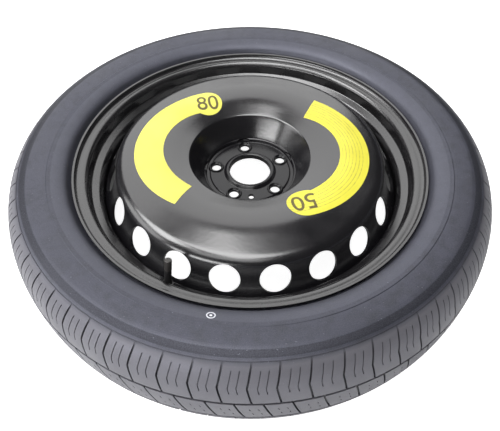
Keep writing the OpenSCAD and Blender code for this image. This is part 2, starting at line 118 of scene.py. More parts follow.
def smooth(piece, angle):
    """Shades a piece smooth, but keeps the edges that are sharper than this many degrees."""
    pick(piece)
    bpy.ops.object.shade_smooth_by_angle(angle=radians(angle))


def hand_over(piece, name, body, nodes=()):
    piece.name = name
    piece.data.name = name
    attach(piece, body)
    if nodes:
        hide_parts(*nodes)
    triangles = sum(len(face.vertices) - 2 for face in piece.data.polygons)
    print(f"{name}: {triangles} triangles")


# %% [markdown]
# Most pieces of a wheel are round, so they are drawn as a half section and spun, as a lathe or a
# rolling mill makes them. The section starts as a primitive circle whose points are set on the
# outline. Spinning it in edit mode gives clean rows of faces that take a smooth shading well.

# %% Spun pieces
WHEEL_STEPS = 240


def spun(outline, steps=WHEEL_STEPS):
    """Spins a closed outline of (radius, height) points, in millimetres, round the Z axis."""
    clear_selection()
    bpy.ops.mesh.primitive_circle_add(vertices=len(outline), radius=0.1)
    piece = bpy.context.object
    for point, (r, z) in zip(piece.data.vertices, outline):
        point.co = (r * MM, 0, z * MM)
    edit(piece)
    bpy.ops.mesh.select_all(action="SELECT")
    bpy.ops.mesh.spin(steps=steps, angle=2 * pi, center=(0, 0, 0), axis=(0, 0, 1))
    leave_edit()
    tidy_mesh(piece)
    return piece


# %% [markdown]
# Pressed and rolled sheet has no sharp corners, so the outlines are rounded before they are spun.
# The same two steps serve the rim and the disc: round the corners of a path, then give the sheet
# its thickness by stepping sideways from that path.

# %% Rounded outlines
def unit(v):
    return (v[0] / hypot(*v), v[1] / hypot(*v))


def polar(r, turn, about=(0, 0)):
    """The point at a radius and an angle, in degrees, about another point."""
    return (about[0] + r * cos(radians(turn)), about[1] + r * sin(radians(turn)))


def rounded(path, radii, step=6):
    """Rounds the corners of an open path. Each arc turns at most step degrees a point."""
    out = [path[0]]
    for i, radius in enumerate(radii, start=1):
        a, b, c = path[i - 1], path[i], path[i + 1]
        u = unit((a[0] - b[0], a[1] - b[1]))
        w = unit((c[0] - b[0], c[1] - b[1]))
        half = acos(max(-1, min(1, u[0] * w[0] + u[1] * w[1]))) / 2
        m = unit((u[0] + w[0], u[1] + w[1]))
        centre = (b[0] + m[0] * radius / sin(half), b[1] + m[1] * radius / sin(half))
        reach = radius / tan(half)
        start = atan2(b[1] + u[1] * reach - centre[1], b[0] + u[0] * reach - centre[0])
        end = atan2(b[1] + w[1] * reach - centre[1], b[0] + w[0] * reach - centre[0])
        sweep = (end - start + pi) % (2 * pi) - pi
        count = max(2, round(abs(degrees(sweep)) / step))
        for k in range(count + 1):
            t = start + sweep * k / count
            out.append((centre[0] + radius * cos(t), centre[1] + radius * sin(t)))
    out.append(path[-1])
    return out


def stepped(path, t):
    """The path moved sideways by t, to its left."""
    out = []
    for i, p in enumerate(path):
        before = path[max(i - 1, 0)]
        after = path[min(i + 1, len(path) - 1)]
        u = unit((p[0] - before[0], p[1] - before[1])) if i else unit((after[0] - p[0], after[1] - p[1]))
        w = unit((after[0] - p[0], after[1] - p[1])) if i < len(path) - 1 else u
        m = unit((-u[1] - w[1], u[0] + w[0]))
        scale = t / (m[1] * u[0] - m[0] * u[1])
        out.append((p[0] + m[0] * scale, p[1] + m[1] * scale))
    return out


def divided(path, longest):
    """The path with extra points, so that no stretch is longer than given."""
    out = [path[0]]
    for a, b in zip(path, path[1:]):
        count = max(1, round(hypot(b[0] - a[0], b[1] - a[1]) / longest))
        out += [(a[0] + (b[0] - a[0]) * k / count, a[1] + (b[1] - a[1]) * k / count)
                for k in range(1, count + 1)]
    return out


# %% [markdown]
# ## Tyre
# A tyre is vulcanised in a mould: smooth sidewalls, a tread cut by two grooves that run round it,
# and slanting grooves that part the blocks. The blocks come in three lengths, shuffled so that the
# tyre doesn't hum. Its section is a squarish half ellipse for tread and shoulder, and a quarter
# ellipse for the sidewall down to the rim. The numbers are those of the solid, in millimetres: an R is
# a radius from the wheel's axis, and an S is a height above the wheel's middle plane.

# %% Section of the tyre
MID_Z = 85.5
TREAD_R = 376.5
HALF_W = 85.5
WIDEST_R = 328.8
SQUARENESS = 2.32
SIDE_FOOT = (278.7, 68.3)
GROOVE_S = 24.5


def crown_r(s, r=TREAD_R, w=HALF_W):
    return WIDEST_R + (r - WIDEST_R) * max(0, 1 - abs(s / w) ** SQUARENESS) ** (1 / SQUARENESS)


def surface_normal(r, s):
    """Outward normal of the tread and shoulder, as (radius, height)."""
    a = max(0, (r - WIDEST_R) / (TREAD_R - WIDEST_R)) ** (SQUARENESS - 1) / (TREAD_R - WIDEST_R)
    b = (abs(s) / HALF_W) ** (SQUARENESS - 1) / HALF_W
    return unit((a, b if s >= 0 else -b))


ARC_POINTS = 2000
arc = [(WIDEST_R, HALF_W)]
arc_length = [0]
for i in range(1, ARC_POINTS + 1):
    t = radians(90 - i * 90 / ARC_POINTS)
    point = (WIDEST_R + (TREAD_R - WIDEST_R) * cos(t) ** (2 / SQUARENESS),
             HALF_W * sin(t) ** (2 / SQUARENESS))
    arc_length.append(arc_length[-1] + hypot(point[0] - arc[-1][0], point[1] - arc[-1][1]))
    arc.append(point)


def on_arc(length):
    """The point of the section that lies so far from the widest ring, measured over the rubber."""
    low, high = 0, len(arc) - 1
    while high - low > 1:
        middle = (low + high) // 2
        low, high = (middle, high) if arc_length[middle] <= length else (low, middle)
    share = (length - arc_length[low]) / (arc_length[high] - arc_length[low])
    return tuple(arc[low][k] + (arc[high][k] - arc[low][k]) * share for k in (0, 1))


def length_at(s):
    return min(zip(arc, arc_length), key=lambda pair: abs(pair[0][1] - s))[1]


print("from the widest ring to the middle of the tread:", round(arc_length[-1], 1), "mm")

# %% [markdown]
# The blocks are laid out next. Each groove's place comes from the mould: five equal groups of
# thirteen blocks. A shoulder groove is a chevron that bends half way up the shoulder. A centre groove
# is a slanting slot. Two fine slits, called sipes, follow the chevron on each shoulder block, and two
# short ones mark each centre block.

# %% Layout of the blocks
BLOCK_LENGTHS = (1, 1.09, 1.2)
BLOCK_GROUP = (1, 1, 0, 0, 0, 0, 1, 1, 0, 0, 0, 1, 2)
GROUPS = 5
FIRST_BLOCK = -145.2
BEND_TURN = 0.85
SLANT_TURN = 2.05
CENTRE_SHIFT = 0.39
LOWER_SHIFT = 0.45
LINE_S, LINE_W = 81.3, 1.4
TOP_S = 77.9
BEND_S = 55.3
SIPE_S = (75.4, 46)
TICK_S = (10, 4.5)
GROOVE_W = 4.8
block_unit = 360 / GROUPS / sum(BLOCK_LENGTHS[k] for k in BLOCK_GROUP)
block_turns = []
turn = FIRST_BLOCK
for k in BLOCK_GROUP * GROUPS:
    block_turns.append(turn)
    turn += block_unit * BLOCK_LENGTHS[k]
block_turns.append(turn)
CENTRE_TURN = BEND_TURN + CENTRE_SHIFT * block_unit
LOWER_TURN = LOWER_SHIFT * block_unit
L_LINE = (length_at(LINE_S) - LINE_W / 2, length_at(LINE_S) + LINE_W / 2)
L_TOP = length_at(TOP_S)
L_BEND = length_at(BEND_S)
L_SIPES = tuple(length_at(s) for s in SIPE_S)
L_TICKS = tuple(length_at(s) for s in TICK_S)
L_GROOVE = (length_at(GROOVE_S + GROOVE_W / 2), length_at(GROOVE_S - GROOVE_W / 2))
print(len(block_turns) - 1, "blocks, the shortest", round(block_unit, 2), "degrees long")


def chevron(length):
    """How far a shoulder groove is turned at this place of the shoulder, in degrees."""
    if length <= L_LINE[1]:
        return BEND_TURN
    if length <= L_BEND:
        return BEND_TURN * (L_BEND - length) / (L_BEND - L_LINE[1])
    return BEND_TURN * min(1, (length - L_BEND) / (L_GROOVE[0] - L_BEND))


FULL_DEPTH = 3.8
TOP_DEPTH = 1.8
SHALLOW_DEPTH = 0.7
DEEPENING = 0.2


def groove_depth(length):
    """The shoulder grooves start shallow at the ring line and deepen towards the tread."""
    if length < L_TOP:
        return SHALLOW_DEPTH
    return min(FULL_DEPTH, TOP_DEPTH + DEEPENING * (length - L_TOP))


# %% [markdown]
# The whole tyre is one sheet of faces: rows run across the section, columns run round the tyre, and
# both crowd together where a groove's edges lie. A primitive grid gives the sheet. Its points are
# then laid on the section, row by row, so each column follows the slant of its groove.

# %% Rows of the section
rows = []


def add_row(r, s, turn, zone, length=0):
    rows.append({"r": r, "s": s, "turn": turn, "zone": zone, "length": length})


def between(low, high, count):
    return [low + (high - low) * i / count for i in range(count)]


shoulder_lengths = between(3, L_LINE[0], 4) + [L_LINE[0]]
shoulder_lengths += between(L_LINE[1], L_TOP, 2) + between(L_TOP, L_SIPES[0], 2)
shoulder_lengths += between(L_SIPES[0], L_BEND, 6) + between(L_BEND, L_SIPES[1], 2)
shoulder_lengths += between(L_SIPES[1], L_GROOVE[0], 4) + [L_GROOVE[0]]
for length in shoulder_lengths:
    r, s = on_arc(length)
    add_row(r, s, chevron(length), "shoulder", length)
centre_lengths = between(L_GROOVE[1], L_TICKS[0], 2) + list(L_TICKS)
centre = [(on_arc(length), length) for length in centre_lengths]
below = [((r, -s), length) for (r, s), length in reversed(centre)]
for (r, s), length in centre + [((TREAD_R, 0), arc_length[-1])] + below:
    share = (GROOVE_S - s) / (2 * GROOVE_S)
    add_row(r, s, CENTRE_TURN + SLANT_TURN * share, "centre", length)
for length in reversed(shoulder_lengths):
    r, s = on_arc(length)
    add_row(r, -s, LOWER_TURN + chevron(length), "lower shoulder", length)
STEP_FROM, STEP_TO, STEP_IN = 306, 327, 0.7
UNDER_TREAD = 14
SIDE_T = 9
side = []
for t in (90, 82, 74, 67, 63.6, 62.4, 55, 46, 37, 28, 19, 9, 0):
    r = WIDEST_R - (WIDEST_R - SIDE_FOOT[0]) * cos(radians(t))
    s = SIDE_FOOT[1] + (HALF_W - SIDE_FOOT[1]) * sin(radians(t))
    side.append((r, s - (STEP_IN if STEP_FROM < r < STEP_TO else 0)))
bead = [(273.7, 59.6), (265.7, 57.0), (262.0, 57.0), (257.6, 55.0), (256.0, 51.5), (254.97, 38.55),
        (260.0, 40.0)]
inner = [(265.7, 42)]
for t in (4, 30, 60, 84):
    inner.append((WIDEST_R - 41.1 * cos(radians(t)), 68.2 + 8.3 * sin(radians(t))))
for s in (68, 50, 25):
    inner.append((crown_r(s, TREAD_R - UNDER_TREAD, HALF_W - SIDE_T), s))
loop = [(r, -s) for r, s in side + bead + inner] + [(TREAD_R - UNDER_TREAD, 0)]
loop += [(r, s) for r, s in reversed(side + bead + inner)]
for i, (r, s) in enumerate(loop):
    share = i / (len(loop) - 1)
    add_row(r, s, LOWER_TURN * (1 - share) + BEND_TURN, "side")
print(len(rows), "rows")

# %% [markdown]
# Each block has nine columns of points: the two edges of its own rubber, two pairs that hold the
# sipes' edges, and three that only keep the faces even. A name for each kind of cut says how deep the
# faces there will be sunk.

# %% Columns round the tyre
SIPE_W = 1.2
CROSS_W = 2.5
SHOULDER_SHARES = (0.18, 0.35, 0.35, 0.5, 0.64, 0.64, 0.82)
CENTRE_SHARES = (0.2, 0.41, 0.41, 0.56, 0.72, 0.72, 0.86)
SIPE_SIDES = (0, -1, 1, 0, -1, 1, 0)
PER_BLOCK = len(SIPE_SIDES) + 2


def column_angle(block, column, row):
    """Angle of a point, in degrees. Column 0 is a groove's far edge, the last the next one's near edge."""
    start, end = block_turns[block], block_turns[block + 1]
    per_mm = degrees(1 / row["r"])
    if column == 0:
        angle = start + CROSS_W / 2 * per_mm
    elif column == PER_BLOCK - 1:
        angle = end - CROSS_W / 2 * per_mm
    else:
        shares = CENTRE_SHARES if row["zone"] == "centre" else SHOULDER_SHARES
        angle = start + (end - start) * shares[column - 1] + SIPE_SIDES[column - 1] * SIPE_W / 2 * per_mm
    return angle + row["turn"]


def cut_kind(column, row, next_row):
    """Names the cut, if any, that the face between two rows and two columns belongs to."""
    zones = (row["zone"], next_row["zone"])
    lengths = (row["length"], next_row["length"])
    if "side" in zones:
        return None
    if zones[0] != zones[1]:
        return "round groove"
    if zones[0] == "centre":
        if column == PER_BLOCK - 1:
            return "centre groove"
        return "tick" if column in (2, 5) and sorted(lengths) == list(L_TICKS) else None
    if sorted(lengths) == list(L_LINE):
        return "line"
    if column == PER_BLOCK - 1 and min(lengths) >= L_LINE[1]:
        return "shoulder groove"
    if column in (2, 5) and min(lengths) >= L_SIPES[0] and max(lengths) <= L_SIPES[1]:
        return "sipe"
    return None


DEPTHS = {"round groove": FULL_DEPTH, "centre groove": FULL_DEPTH, "tick": 1.2, "line": 0.8, "sipe": 1.8}
print(PER_BLOCK, "columns in a block")

# %% [markdown]
# The grid's points come in no order that can be relied on, so each one is found by its place: its x
# says which column it is in, and its y which row. The faces that will be sunk are marked first, and
# then every point moves to its own angle, radius and height. The two ends meet and are merged.

# %% Lay the sheet on the section
columns = (len(block_turns) - 1) * PER_BLOCK
clear_selection()
bpy.ops.mesh.primitive_grid_add(x_subdivisions=columns, y_subdivisions=len(rows), size=2)
tyre = bpy.context.object
mesh = tyre.data
depth = [0.0] * len(mesh.vertices)
across = len(rows)
marks = []
for face in mesh.polygons:
    i = round((face.center.x + 1) / 2 * columns - 0.5)
    j = round((face.center.y + 1) / 2 * across - 0.5)
    row, next_row = rows[j], rows[(j + 1) % across]
    kind = cut_kind(i % PER_BLOCK, row, next_row)
    marks.append(kind is not None)
    if kind:
        for v in face.vertices:
            corner_row = rows[round((mesh.vertices[v].co.y + 1) / 2 * across) % across]
            wanted = groove_depth(corner_row["length"]) if kind == "shoulder groove" else DEPTHS[kind]
            depth[v] = max(depth[v], wanted)
for point in mesh.vertices:
    i = round((point.co.x + 1) / 2 * columns) % columns
    row = rows[round((point.co.y + 1) / 2 * across) % across]
    angle = radians(column_angle(i // PER_BLOCK, i % PER_BLOCK, row))
    point.co = (row["r"] * cos(angle) * MM, row["r"] * sin(angle) * MM, (MID_Z + row["s"]) * MM)
mesh.attributes.new("cut", "BOOLEAN", "FACE").data.foreach_set("value", marks)
mesh.attributes.new("depth", "FLOAT", "POINT").data.foreach_set("value", depth)
tidy_mesh(tyre)
print(len(mesh.vertices), "points,", sum(marks), "faces to sink")

# %% [markdown]
# The faces between a groove's edges are extruded, which gives the groove its walls, and the new floor is
# moved into the rubber along the section's normal, as deep as each cut is. The depth stays on the points as
# an attribute, which the rubber's finish reads to paint shade on the groove floors.

# %% Sink the grooves
edit(tyre)
bpy.ops.mesh.select_all(action="DESELECT")
leave_edit()
tyre.data.polygons.foreach_set("select", [bool(m.value) for m in tyre.data.attributes["cut"].data])
edit(tyre)
bpy.ops.mesh.extrude_region_move()
leave_edit()
depths = tyre.data.attributes["depth"].data
for point in tyre.data.vertices:
    if point.select:
        r = hypot(point.co.x, point.co.y)
        n = surface_normal(r / MM, point.co.z / MM - MID_Z)
        sunk = depths[point.index].value * MM
        point.co.x -= n[0] * sunk * point.co.x / r
        point.co.y -= n[0] * sunk * point.co.y / r
        point.co.z -= n[1] * sunk
deepest = max(DEPTHS.values())
at_floor = [depths[point.index].value / deepest if point.select else 0.0 for point in tyre.data.vertices]
for name in ("cut", "depth"):
    tyre.data.attributes.remove(tyre.data.attributes[name])
tyre.data.attributes.new("groove", "FLOAT", "POINT").data.foreach_set("value", at_floor)
smooth(tyre, 32)
hand_over(tyre, "tyre_casing", "wheel", ("tyre",))

# %% [markdown]
# ## Rim
# The rim is one strip of steel, rolled to a ring with a flange for each bead, a tapered seat beside
# it, and a deep well in the middle over which the tyre is mounted. The outline is the tyre's side of
# the sheet, rounded as rollers round it, and the sheet's 3 mm go inwards from there.

# %% Section of the rim
SEAT_R = 256.4
HALF_RIM = 57.15
FLANGE_R = 273.7
CURL_R = 9.5
WELL_R = 239.1
RIM_T = 3
seat_end = (254.67, 37.35)
shoulder_end = (241.87, 31.35)
curl = (FLANGE_R - CURL_R, HALF_RIM + CURL_R)
upper = rounded(
    [(WELL_R, 0), (WELL_R, 26), shoulder_end, seat_end, (SEAT_R, HALF_RIM), (curl[0], HALF_RIM)],
    (5, 5, 6, 6.5), 9)
upper += [polar(CURL_R, t, curl) for t in range(-85, 11, 5)]
tyre_side = [(r, -s) for r, s in reversed(upper[1:])] + upper
wheel_side = stepped(tyre_side, RIM_T)
rim_outline = tyre_side + list(reversed(wheel_side))
rim = spun([(r, s + MID_Z) for r, s in rim_outline])
print(len(rim_outline), "points in the rim's section")

# %% [markdown]
# The valve stands in a hole in the rim's sloping shoulder, where the sheet is pressed into a small
# flat pad. The valve leans 14 degrees towards the wheel's middle, so a pump reaches it. One matrix
# puts anything that is drawn upright at the origin on that pad.

# %% Hole for the valve
VALVE_TURN = -116.4
VALVE_R = 246.3
VALVE_S = 37.04
VALVE_LEAN = 14
PAD_T = 4.2
HOLE_R = 5.65
SPOT_R = 6.65
at_valve = (Matrix.Rotation(radians(VALVE_TURN), 4, "Z")
            @ Matrix.Translation((VALVE_R * MM, 0, (MID_Z + VALVE_S) * MM))
            @ Matrix.Rotation(radians(-VALVE_LEAN), 4, "Y"))


def place(piece, matrix):
    """Moves a piece's mesh, and leaves its object at the origin."""
    piece.matrix_world = matrix
    pick(piece)
    bpy.ops.object.transform_apply(location=True, rotation=True, scale=True)
    return piece


def plug(outline, matrix, steps=48):
    return place(spun(outline, steps), matrix)


pad = [(0, -PAD_T - 0.5), (SPOT_R + 0.5, -PAD_T - 0.5), (SPOT_R + 0.5, 0.5), (0, 0.5)]
cut_or_join(rim, plug(pad, at_valve), "UNION")
valve_hole = [(0, -11), (SPOT_R, -11), (SPOT_R, -PAD_T), (HOLE_R, -PAD_T), (HOLE_R, 0), (SPOT_R, 0),
              (SPOT_R, 7), (0, 7)]
cut_or_join(rim, plug(valve_hole, at_valve), "DIFFERENCE")
smooth(rim, 30)
hand_over(rim, "rim_shell", "wheel", ("rim",))

# %% [markdown]
# ## Disc
# The disc is pressed from 4.5 mm steel in several strokes: the hub is driven down, the crown is left
# standing round it, and the outer wall goes down to a short flange that is forced into the rim. The
# front outline runs from the bore outwards. The hub pad has a ring groove and a low ledge round it,
# where the recess wall starts.

# %% Section of the disc
PAD_S = 25.8
DISC_T = 4.5
BORE_R = 33.3
FOOT_R, FOOT_H = 74.4, 3.6
WELL_IN = 236.0
VENT_R, VENT_AT_R, VENT_H, VENT_SLOPE = 21.7, 220.5, 17.2, 60
WALL_TOP = (95.5, 37.5)
DOME = (142, 53)
BROW_H = 43
FLANGE_H = 31
vent_s = PAD_S + VENT_H
brow = (VENT_AT_R - (BROW_H - VENT_H) / tan(radians(VENT_SLOPE)), PAD_S + BROW_H)
knee = (WELL_IN, vent_s - (WELL_IN - VENT_AT_R) * tan(radians(VENT_SLOPE)))
flange_end = knee[1] - FLANGE_H
crown = rounded(
    [(FOOT_R, PAD_S + FOOT_H), (WALL_TOP[0], PAD_S + WALL_TOP[1]), (DOME[0], PAD_S + DOME[1]), brow, knee,
     (WELL_IN, flange_end)],
    (5, 100, 22, 12), 5)
crown = divided(crown, 4.5)
wall_run = (WALL_TOP[0] - FOOT_R) / (WALL_TOP[1] - FOOT_H)
foot_back = (FOOT_R - FOOT_H * wall_run, PAD_S)
first_bend = next(i for i, p in enumerate(crown) if p[1] > PAD_S + 20)
back = divided(rounded([(BORE_R, PAD_S), foot_back, crown[first_bend]], (8,), 9), 6)
back += crown[first_bend + 1:]
lip = rounded(
    [(BORE_R, PAD_S - DISC_T), (BORE_R, PAD_S + 3.4), (35.6, PAD_S + 4.2), (38.2, PAD_S + 3.8),
     (40.3, PAD_S + 2.0), (42.4, PAD_S), (45, PAD_S)],
    (1.2, 1.2, 1.6, 1.6, 1.2), 15)
ledge = rounded(
    [(45, PAD_S), (64.5, PAD_S), (66.1, PAD_S - 2), (71, PAD_S - 2), (72.6, PAD_S + 3),
     (FOOT_R, PAD_S + FOOT_H), (FOOT_R + 1.2, PAD_S + FOOT_H + 1.9)],
    (1.5, 0.9, 1.2, 0.9, 0.8), 20)
wall_start = next(i for i, p in enumerate(crown) if p[1] > PAD_S + FOOT_H + 2.2)
disc_front = lip + divided(ledge, 5)[1:] + crown[wall_start:]
disc_outline = disc_front[1:] + list(reversed(stepped(back, -DISC_T)))
disc = spun([(r, s + MID_Z) for r, s in disc_outline])
print(len(disc_outline), "points in the disc's section, and its flange ends at", round(flange_end, 1), "mm")

# %% [markdown]
# The tool that presses the hub leaves a raised lip round the centre bore, which is in the section, and
# a boss round each of the five bolt holes. The ledge gives way to each boss, with room for a socket.
# The bosses are cut with a conical seat for the bolt's head. Each shape is modelled once, copied to
# the five places, and joined to the disc or cut from it in one go.

# %% Hub
PCD_R = 56
BOLT_R = 7.75
BOLTS = 5
BOLT_TURN = 27.1
PILOT_TURN = -88


def joined(pieces):
    clear_selection()
    for piece in pieces:
        piece.select_set(True)
    bpy.context.view_layer.objects.active = pieces[0]
    bpy.ops.object.join()
    return pieces[0]


def at_hub(turn):
    return (Matrix.Rotation(radians(turn), 4, "Z")
            @ Matrix.Translation((PCD_R * MM, 0, (MID_Z + PAD_S) * MM)))


def at_bolts(outline, steps=64):
    return joined([plug(outline, at_hub(BOLT_TURN + 360 / BOLTS * k), steps) for k in range(BOLTS)])


sockets = at_bolts([(0, 0.2), (18.4, 0.2), (19, 0.8), (19.6, 12), (0, 12)])
ledge_band = spun([(r, s + MID_Z + PAD_S) for r, s in ((59, -1), (90, -1), (90, 14), (59, 14))])
cut_or_join(sockets, ledge_band, "INTERSECT")
cut_or_join(disc, sockets, "DIFFERENCE")
boss = rounded([(0, -2), (13.5, -2), (12.4, 0.4), (11.5, 2.4), (0, 2.4)], (0.1, 1.2, 0.8), 20)
cut_or_join(disc, at_bolts(boss), "UNION")
seat = [(0, -9), (BOLT_R, -9), (BOLT_R, -0.2), (BOLT_R + 0.5, 0.1), (BOLT_R + 2.0, 1.6),
        (BOLT_R + 2.1, 2.0), (BOLT_R + 2.8, 2.6), (BOLT_R + 2.8, 6), (0, 6)]
cut_or_join(disc, at_bolts(seat, 48), "DIFFERENCE")
pilot = [(0, -9), (4.4, -9), (4.4, -0.5), (5.0, 0.1), (5.0, 4), (0, 4)]
cut_or_join(disc, plug(pilot, at_hub(PILOT_TURN), 32), "DIFFERENCE")
print(BOLTS, "bosses on a circle of", 2 * PCD_R, "mm")

# %% [markdown]
# Twenty round vents are punched through the sloping wall, square to it. They let air reach the brake.
# One punch is modelled and copied, and all twenty cut at once.

# %% Vents
VENTS = 20
VENT_TURN = -81
punches = []
for k in range(VENTS):
    clear_selection()
    bpy.ops.mesh.primitive_cylinder_add(vertices=72, radius=VENT_R * MM, depth=40 * MM)
    punches.append(place(bpy.context.object, Matrix.Rotation(radians(VENT_TURN + 360 / VENTS * k), 4, "Z")
                         @ Matrix.Translation((VENT_AT_R * MM, 0, (MID_Z + vent_s) * MM))
                         @ Matrix.Rotation(radians(VENT_SLOPE), 4, "Y")))
cut_or_join(disc, joined(punches), "DIFFERENCE")
smooth(disc, 30)
hand_over(disc, "disc_pressing", "wheel", ("wheel_disc",))

# %% [markdown]
# ## Welds
# Eight short arc welds hold the disc's flange in the rim's well, on the back. A weld bead is laid down
# drop by drop, so its surface ripples. One bead is drawn as a small rounded section, spun through its
# arc in many steps, and each step's points are pushed in and out a little to give the ripple.

# %% Welds
WELDS = 8
WELD_ARC = 25
RIPPLE = 0.75
WELL_WALL = 236.08
bead_section = [(WELL_WALL, -0.02), (232.0, -0.02), (231.9, -1.2), (232.6, -2.6), (233.9, -3.6),
                (235.2, -4.1), (WELL_WALL, -4.1)]
beads = []
for k in range(WELDS):
    clear_selection()
    bpy.ops.mesh.primitive_circle_add(vertices=len(bead_section), radius=0.1, fill_type="NGON")
    bead = bpy.context.object
    start = 360 / WELDS * k
    for point, (r, s) in zip(bead.data.vertices, bead_section):
        point.co = (*polar(r * MM, start), (MID_Z + flange_end + s) * MM)
    edit(bead)
    bpy.ops.mesh.select_all(action="SELECT")
    bpy.ops.mesh.spin(steps=100, angle=-radians(WELD_ARC), center=(0, 0, 0), axis=(0, 0, 1))
    leave_edit()
    tidy_mesh(bead)
    for point in bead.data.vertices:
        along = (degrees(atan2(point.co.y, point.co.x)) - start + 180) % 360 - 180
        r = hypot(point.co.x, point.co.y) / MM
        if r < WELL_WALL - 0.18 and point.co.z / MM < MID_Z + flange_end - 0.5:
            end = min(1, min(along, WELD_ARC - along) / 0.6 + 0.35)
            swell = 1 + 0.07 * sin(radians(along * 360 / RIPPLE)) * end
            new_r = WELL_WALL - (WELL_WALL - r) * swell * (0.8 + 0.2 * end)
            point.co.x *= new_r / r
            point.co.y *= new_r / r
    beads.append(bead)
welds = joined(beads)
tidy_mesh(welds)
smooth(welds, 50)
hand_over(welds, "weld_beads", "wheel", ("disc_welds",))

# %% [markdown]
# ## Valve
# A snap-in valve is a rubber body that is pulled through the rim's hole until its bulb snaps in. A
# brass stem is moulded into it and carries a screwed thread above the rubber, and a plastic cap with
# grip ribs goes on top. The rubber and the stem are spun. The thread is one small tooth that the Screw
# modifier winds up the stem.

# %% Valve body
RUBBER_H = 26
TIP = 41.3
body = rounded(
    [(3.2, -13.2), (5.55, -13.2), (7.25, -9.2), (7.25, -8.2), (6.15, -4.25), (5.55, -4.25), (5.55, -0.05),
     (6.15, -0.05), (6.15, 1.5), (5.1, 5), (4.7, 9), (4.7, 24.6), (4.3, RUBBER_H), (3.2, RUBBER_H)],
    (0.4, 0.5, 0.5, 0.1, 0.1, 0.1, 0.1, 0.4, 1.5, 4, 0.6, 0.4), 20)
valve_rubber = plug(body, at_valve)
smooth(valve_rubber, 40)
hand_over(valve_rubber, "valve_rubber", "wheel", ("valve_body",))

# %% [markdown]
# The stem is a turned tube. Its thread's tooth is a triangle that the Screw modifier winds up, and the
# two ends of the winding are closed with a face each.

# %% Valve stem
def close_ends(piece):
    """Fills the two open ends of a shape that the Screw modifier has wound."""
    edit(piece)
    bpy.ops.mesh.select_mode(type="EDGE")
    bpy.ops.mesh.select_all(action="DESELECT")
    bpy.ops.mesh.select_non_manifold()
    bpy.ops.mesh.edge_face_add()
    leave_edit()


THREAD_R = 3.85
THREAD_ROOT_R = 3.45
THREAD_PITCH = 0.8
stem = plug(
    [(2.0, -14.2), (3.2, -14.2), (3.2, RUBBER_H), (3.8, RUBBER_H + 0.02), (3.8, RUBBER_H + 0.9),
     (THREAD_ROOT_R, RUBBER_H + 1.3), (THREAD_ROOT_R, TIP - 0.3), (3.2, TIP), (2.65, TIP), (2.65, 29.9),
     (2.0, 29.4)],
    Matrix.Identity(4))
clear_selection()
bpy.ops.mesh.primitive_circle_add(vertices=3, radius=0.1)
tooth = bpy.context.object
tooth_points = ((THREAD_ROOT_R - 0.1, 0), (THREAD_R, THREAD_PITCH / 2), (THREAD_ROOT_R - 0.1, THREAD_PITCH))
for point, (r, z) in zip(tooth.data.vertices, tooth_points):
    point.co = (r * MM, 0, (RUBBER_H + 1.2 + z) * MM)
thread_turns = int((TIP - RUBBER_H - 2.4) / THREAD_PITCH)
apply_modifier(tooth, "SCREW", angle=2 * pi, screw_offset=THREAD_PITCH * MM, iterations=thread_turns,
               steps=36, render_steps=36, use_merge_vertices=False)
close_ends(tooth)
tidy_mesh(tooth)
stem = joined([stem, tooth])
place(stem, at_valve)
smooth(stem, 30)
hand_over(stem, "valve_stem_threaded", "wheel", ("valve_stem",))
print(thread_turns, "turns of thread")

# %% [markdown]
# The cap starts as a primitive cylinder. Its top edge is bevelled, as a moulded cap's is. Every third
# strip of its side is then inset and pushed in to leave the grip ribs. The hollow is cut last.

# %% Valve cap
CAP_R = 4.9
CAP_LOW = 26.4
CAP_H = 17.2
RIB_LOW = 4
STRIPS = 48
HOLLOW_R, HOLLOW_TOP = 4.05, 42.4
clear_selection()
bpy.ops.mesh.primitive_cylinder_add(vertices=STRIPS, radius=CAP_R * MM, depth=CAP_H * MM,
                                    location=(0, 0, (CAP_LOW + CAP_H / 2) * MM))
cap = place(bpy.context.object, bpy.context.object.matrix_world.copy())
edit(cap)
bpy.ops.mesh.select_all(action="DESELECT")
leave_edit()
for face in cap.data.polygons:
    face.select = face.normal.z > 0.9
edit(cap)
bpy.ops.mesh.bevel(offset=1.0 * MM, segments=4, affect="EDGES")
bpy.ops.mesh.select_all(action="SELECT")
bpy.ops.mesh.bisect(plane_co=(0, 0, (CAP_LOW + RIB_LOW) * MM), plane_no=(0, 0, 1))
leave_edit()
pushed_in = 0
for face in cap.data.polygons:
    middle = face.center / MM
    side_on = abs(face.normal.z) < 0.1 and CAP_LOW + RIB_LOW < middle.z < CAP_LOW + CAP_H - 1.2
    strip = round(degrees(atan2(middle.y, middle.x)) * STRIPS / 360 - 0.5)
    face.select = side_on and strip % 3 == 0
    pushed_in += face.select
edit(cap)
bpy.ops.mesh.inset(use_individual=True, thickness=0.12 * MM, depth=-0.3 * MM)
bpy.ops.mesh.select_all(action="DESELECT")
leave_edit()
hollow_outline = [(0, CAP_LOW - 1), (HOLLOW_R, CAP_LOW - 1), (HOLLOW_R, HOLLOW_TOP), (0, HOLLOW_TOP)]
cap_hollow = spun(hollow_outline, STRIPS)
cut_or_join(cap, cap_hollow, "DIFFERENCE")
place(cap, at_valve)
smooth(cap, 35)
hand_over(cap, "ribbed_cap", "cap", ("valve_cap",))
print(pushed_in, "strips pushed in")
